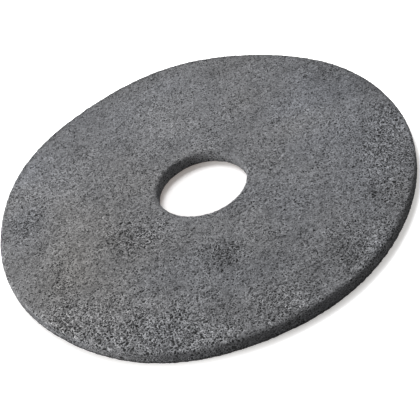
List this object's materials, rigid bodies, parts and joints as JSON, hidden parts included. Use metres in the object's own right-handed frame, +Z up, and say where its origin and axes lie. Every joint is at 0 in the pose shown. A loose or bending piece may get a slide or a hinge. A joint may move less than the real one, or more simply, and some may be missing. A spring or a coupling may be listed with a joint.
{
  "type": "floor scrubbing pad",
  "caption": "Round grey non-woven floor scrubbing pad with a centre hole, driven flat on the floor under a rotary floor machine",
  "frame": {"origin": "middle of the face that lies on the floor, on the axis the pad spins about", "axes": "+Z runs up along the axis of the disc and its centre hole; the disc is round, so X and Y are free, and -Y is the side nearest the camera"},
  "size_m": [0.406, 0.406, 0.014],
  "materials": {
    "grey_web": "matt, open springy fibre web bonded with grit"
  },
  "bodies": {
    "root": {"scrubbing_pad": "grey_web"}
  },
  "joints": []
}
